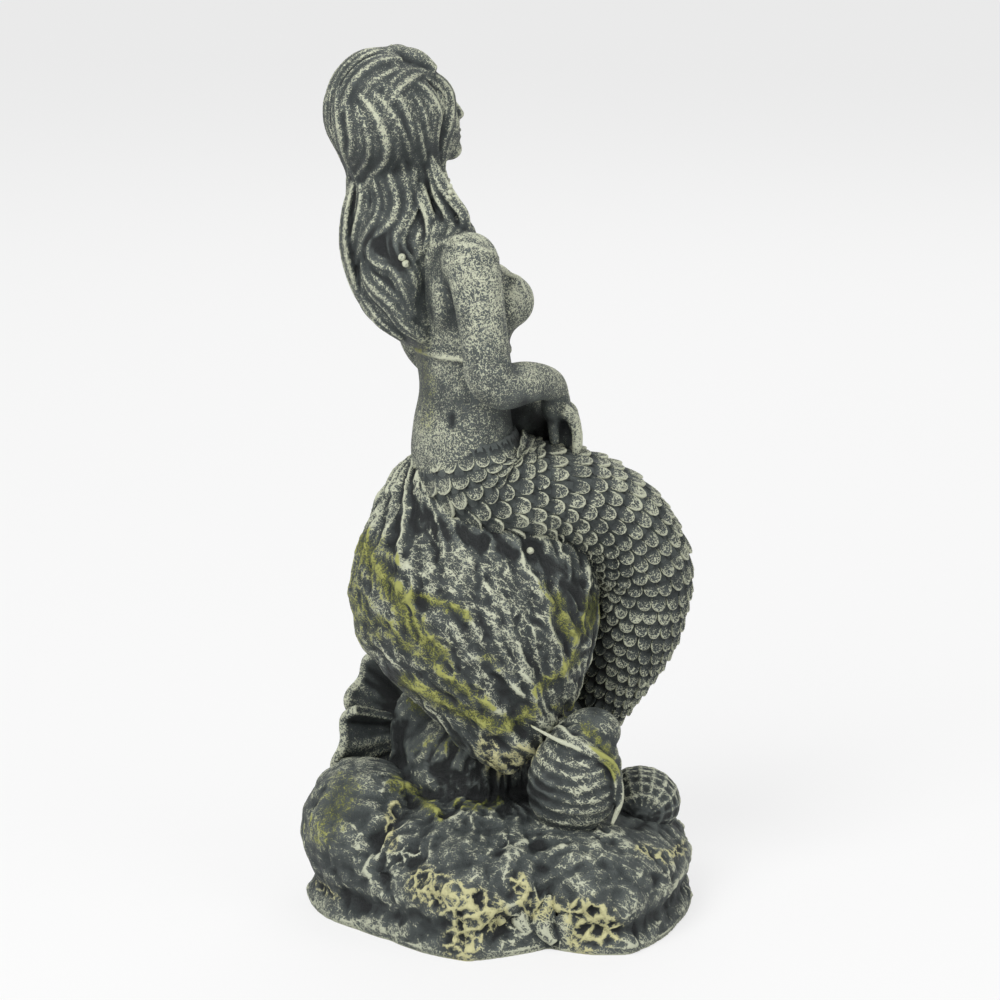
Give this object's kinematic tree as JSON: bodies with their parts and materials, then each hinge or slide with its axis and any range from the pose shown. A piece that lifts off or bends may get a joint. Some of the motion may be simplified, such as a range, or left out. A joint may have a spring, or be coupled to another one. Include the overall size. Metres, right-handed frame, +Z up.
{
  "type": "mermaid figurine",
  "caption": "Cast resin mermaid with long wavy hair sitting on a leaning boulder, her scaled tail curled down behind it to a flat-footed rock base with shells",
  "frame": {"origin": "middle of the flat underside of the rock base", "axes": "+Z up, +X the way the figure faces within some 20 degrees, -Y towards the side the picture shows, which is her right side"},
  "size_m": [0.0758, 0.0689, 0.1666],
  "materials": {
    "weathered_resin": "dry-brushed matte, dark slate grey with pale green-cream raised edges and moss-yellow patches"
  },
  "bodies": {
    "root": {"mermaid_figurine": "weathered_resin"}
  },
  "joints": []
}
